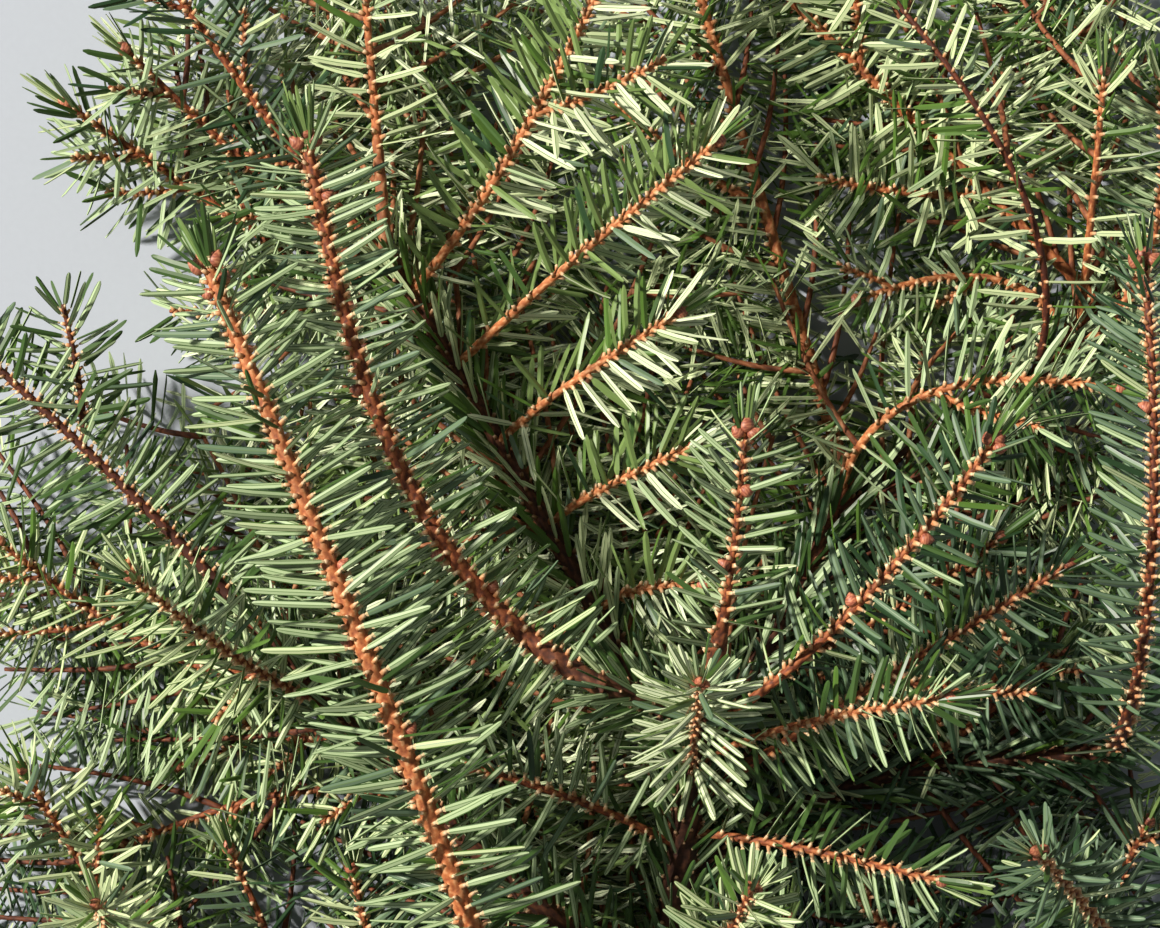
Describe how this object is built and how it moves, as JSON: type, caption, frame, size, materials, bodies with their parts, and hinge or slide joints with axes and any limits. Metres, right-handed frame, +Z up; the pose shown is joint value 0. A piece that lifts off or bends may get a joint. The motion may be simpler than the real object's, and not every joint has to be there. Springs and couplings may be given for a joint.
{
  "type": "cut serbian spruce branch",
  "caption": "Cut branch of Serbian spruce lying on the ground: a sawn stem, tapering boughs and needled shoots with their parted undersides up.",
  "frame": {"origin": "on the ground, under the middle of the branch", "axes": "+Y from the sawn end towards the tips, +Z up from the ground, with the shoots' parted undersides up"},
  "size_m": [0.2789, 0.2923, 0.0964],
  "materials": {
    "old_bark": "matt, scaly dark red-brown bark",
    "young_bark": "matt, grooved orange-brown bark",
    "foliage": "satin needles, green above and with two pale bands underneath"
  },
  "bodies": {
    "root": {"main_stem": "old_bark", "bough_back": "young_bark", "bough_corner": "young_bark", "bough_far_right": "young_bark", "bough_front_left": "young_bark", "bough_front_middle": "young_bark", "bough_left": "young_bark", "bough_low_left": "young_bark", "bough_low_right": "young_bark", "bough_right": "young_bark", "shoot_back_left_1": "foliage", "shoot_back_left_2": "foliage", "shoot_back_left_3": "foliage", "shoot_back_right_1": "foliage", "shoot_back_right_2": "foliage", "shoot_back_right_3": "foliage", "shoot_back_right_4": "foliage", "shoot_back_right_5": "foliage", "shoot_back_tip": "foliage", "shoot_corner_1": "foliage", "shoot_corner_2": "foliage", "shoot_corner_3": "foliage", "shoot_corner_4": "foliage", "shoot_corner_star": "foliage", "shoot_far_left": "foliage", "shoot_far_level": "foliage", "shoot_far_middle": "foliage", "shoot_far_right_1": "foliage", "shoot_far_right_2": "foliage", "shoot_far_right_3": "foliage", "shoot_far_tip": "foliage", "shoot_front_left": "foliage", "shoot_front_middle": "foliage", "shoot_leaning": "foliage", "shoot_left_low_1": "foliage", "shoot_left_low_2": "foliage", "shoot_left_star": "foliage", "shoot_left_tip": "foliage", "shoot_left_under": "foliage", "shoot_level": "foliage", "shoot_low_left_1": "foliage", "shoot_low_left_2": "foliage", "shoot_low_left_3": "foliage", "shoot_low_left_4": "foliage", "shoot_low_left_5": "foliage", "shoot_low_left_star": "foliage", "shoot_low_right": "foliage", "shoot_right_edge": "foliage", "shoot_right_inner": "foliage", "shoot_right_under": "foliage", "shoot_star_foot": "foliage", "shoot_star_middle": "foliage", "shoot_stem_left": "foliage", "shoot_stem_low": "foliage", "shoot_stem_right": "foliage", "shoot_upright": "foliage"}
  },
  "joints": []
}
